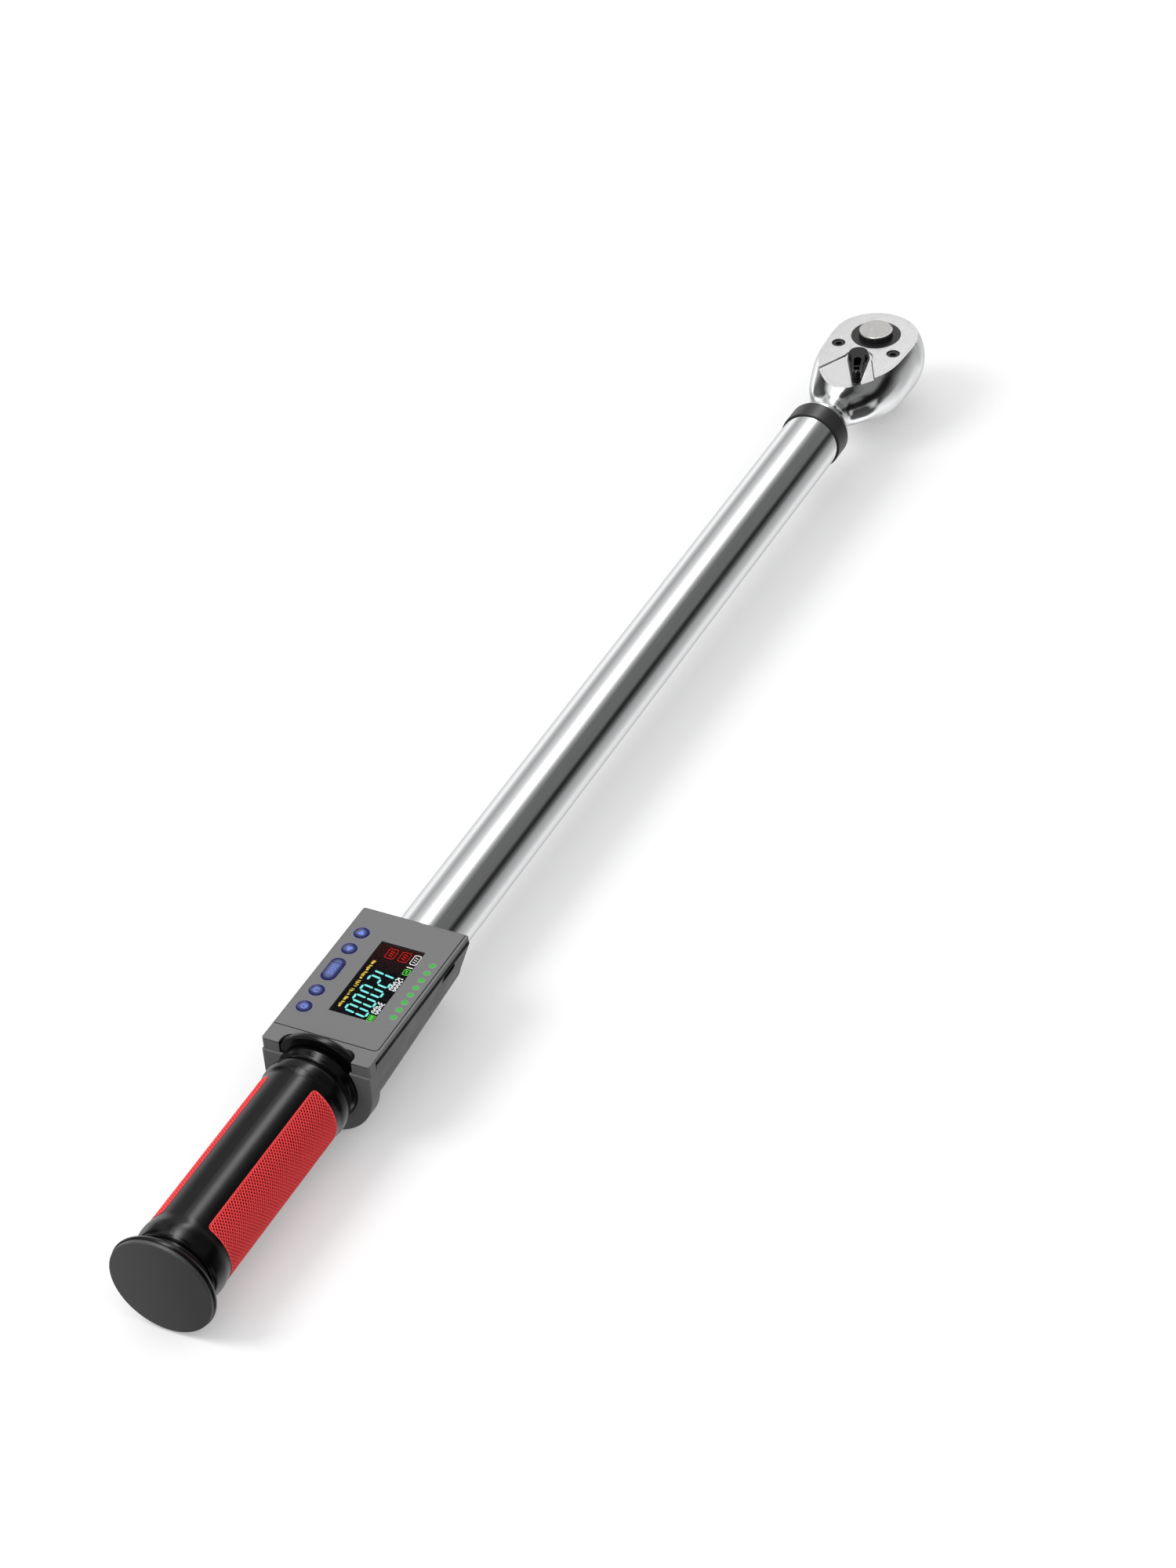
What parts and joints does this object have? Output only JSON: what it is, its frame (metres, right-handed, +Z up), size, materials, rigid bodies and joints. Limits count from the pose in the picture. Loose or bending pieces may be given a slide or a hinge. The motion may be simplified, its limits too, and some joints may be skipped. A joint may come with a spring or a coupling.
{
  "type": "torque wrench",
  "caption": "Digital click-free torque wrench: half-inch reversible ratchet head on a long chrome tube, display box with keys, and a two-colour grip.",
  "frame": {"origin": "on the drive's axis, in the plane of the shoulder that a socket seats against", "axes": "+X along the tube from the drive to the handle's end, +Y towards the level lights and the charging port, +Z up, out of the ratchet's face and the display; the square drive points along -Z"},
  "size_m": [0.6637, 0.0458, 0.0485],
  "materials": {
    "polished_chrome": "mirror polished chrome",
    "satin_steel": "bead-blasted satin",
    "black_oxide": "black oxide",
    "satin_nickel": "satin nickel",
    "bright_steel": "bright drawn steel",
    "tool_steel": "ground tool steel",
    "gloss_black": "gloss black",
    "collar_black": "satin black anodised",
    "gauge_film": "amber film",
    "cable_jacket": "soft black jacket",
    "housing_grey": "fine satin grey",
    "panel_grey": "smooth satin grey",
    "display_glass": "clear gloss",
    "lcd_black": "dark display glass with lit segments",
    "board_green": "solder mask green",
    "component_black": "moulded black",
    "key_blue": "translucent blue, lit from behind",
    "light_green": "lit green",
    "port_steel": "plated steel",
    "seal_rubber": "matt black rubber",
    "grip_red": "red rubber with a fine raised diamond pattern",
    "cap_black": "satin black",
    "battery_wrap": "shrink film",
    "contact_metal": "plated brass"
  },
  "bodies": {
    "wrench": {"head_body": "polished_chrome", "tube": "polished_chrome", "cover_plate": "satin_steel", "cover_screws": "black_oxide", "clamp_screws": "black_oxide", "release_spring": "bright_steel", "contact_spring": "bright_steel", "thrust_washer": "bright_steel", "strain_beam": "tool_steel", "beam_bush": "tool_steel", "beam_pin": "tool_steel", "neck_ring": "gloss_black", "handle_core": "gloss_black", "tube_collar": "collar_black", "strain_gauges": "gauge_film", "signal_cable": "cable_jacket", "battery_lead": "cable_jacket", "housing_shell": "housing_grey", "housing_cover": "housing_grey", "end_frame": "housing_grey", "face_panel": "panel_grey", "display_window": "display_glass", "lcd_module": "lcd_black", "circuit_board": "board_green", "board_chips": "component_black", "buzzer": "component_black", "key_switches": "component_black", "level_lights": "light_green", "charging_port": "port_steel", "cover_gasket": "seal_rubber", "cap_seal": "seal_rubber", "left_grip_insert": "grip_red", "right_grip_insert": "grip_red", "end_cap": "cap_black", "battery_cell": "battery_wrap", "battery_sleeve": "battery_wrap", "battery_contact": "contact_metal"},
    "drive": {"drive_gear": "black_oxide"},
    "release": {"release_button": "satin_nickel"},
    "detent": {"detent_ball": "bright_steel"},
    "selector": {"reversing_lever": "gloss_black", "pawl_plunger": "bright_steel", "plunger_spring": "bright_steel"},
    "ratchet_pawl": {"pawl": "tool_steel"},
    "up_cap": {"up_key": "key_blue"},
    "down_cap": {"down_key": "key_blue"},
    "mode_cap": {"mode_key": "key_blue"},
    "unit_cap": {"unit_key": "key_blue"},
    "power_cap": {"power_key": "key_blue"}
  },
  "joints": [
    {"name": "drive_spin", "type": "hinge", "parent": "wrench", "child": "drive", "pos_m": [0, 0, 0], "axis": [0, 0, 1], "continuous": true},
    {"name": "release_press", "type": "slide", "parent": "drive", "child": "release", "axis": [0, 0, -1], "range_m": [0, 0.0025], "stiffness_N_per_m": 900, "springref_m": -0.002, "deforming": ["release_spring"]},
    {"name": "detent_slide", "type": "slide", "parent": "drive", "child": "detent", "axis": [-1, 0, 0], "range_m": [0, 0.0015]},
    {"name": "selector_swing", "type": "hinge", "parent": "wrench", "child": "selector", "pos_m": [0.02, 0, 0.0232], "axis": [0, 0, 1], "range_deg": [-40, 0]},
    {"name": "pawl_rock", "type": "hinge", "parent": "wrench", "child": "ratchet_pawl", "pos_m": [0.0164, 0, 0.0124], "axis": [0, 0, 1], "range_deg": [0, 9]},
    {"name": "up_key_press", "type": "slide", "parent": "wrench", "child": "up_cap", "axis": [0, 0, -1], "range_m": [0, 0.0005], "stiffness_N_per_m": 200, "springref_m": -0.0004},
    {"name": "down_key_press", "type": "slide", "parent": "wrench", "child": "down_cap", "axis": [0, 0, -1], "range_m": [0, 0.0005], "stiffness_N_per_m": 200, "springref_m": -0.0004},
    {"name": "mode_key_press", "type": "slide", "parent": "wrench", "child": "mode_cap", "axis": [0, 0, -1], "range_m": [0, 0.0005], "stiffness_N_per_m": 200, "springref_m": -0.0004},
    {"name": "unit_key_press", "type": "slide", "parent": "wrench", "child": "unit_cap", "axis": [0, 0, -1], "range_m": [0, 0.0005], "stiffness_N_per_m": 200, "springref_m": -0.0004},
    {"name": "power_key_press", "type": "slide", "parent": "wrench", "child": "power_cap", "axis": [0, 0, -1], "range_m": [0, 0.0005], "stiffness_N_per_m": 200, "springref_m": -0.0004}
  ],
  "couplings": [
    {"joint": "detent_slide", "follows": "release_press", "ratio": 0.6},
    {"joint": "pawl_rock", "follows": "selector_swing", "ratio": -0.225}
  ]
}
